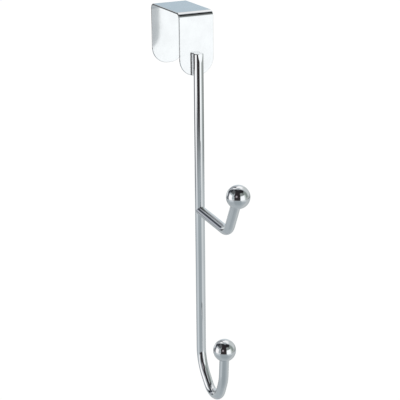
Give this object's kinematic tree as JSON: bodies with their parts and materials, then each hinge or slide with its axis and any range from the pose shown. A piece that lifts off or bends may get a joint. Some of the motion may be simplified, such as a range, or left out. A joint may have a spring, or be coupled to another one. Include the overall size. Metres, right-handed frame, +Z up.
{
  "type": "over-the-door double coat hook",
  "caption": "Chrome over-the-door hook: a folded strip bracket, an upright round rod bent into a lower hook, and a welded upper hook, each ending in a ball.",
  "frame": {"origin": "middle of the underside of the bracket's top plate, which rests on the top of the door", "axes": "+X across the strip, along the door's width; +Y towards the back of the door; -Y forward, the way the hooks point; +Z up"},
  "size_m": [0.026, 0.1171, 0.285],
  "materials": {
    "chrome_sheet": "bright chrome plate on sheet steel",
    "chrome_rod": "bright chrome plate on drawn rod",
    "chrome_ball": "bright chrome plate on a polished ball"
  },
  "bodies": {
    "root": {"bracket": "chrome_sheet", "main_rod": "chrome_rod", "upper_hook": "chrome_rod", "upper_ball": "chrome_ball", "lower_ball": "chrome_ball"}
  },
  "joints": []
}
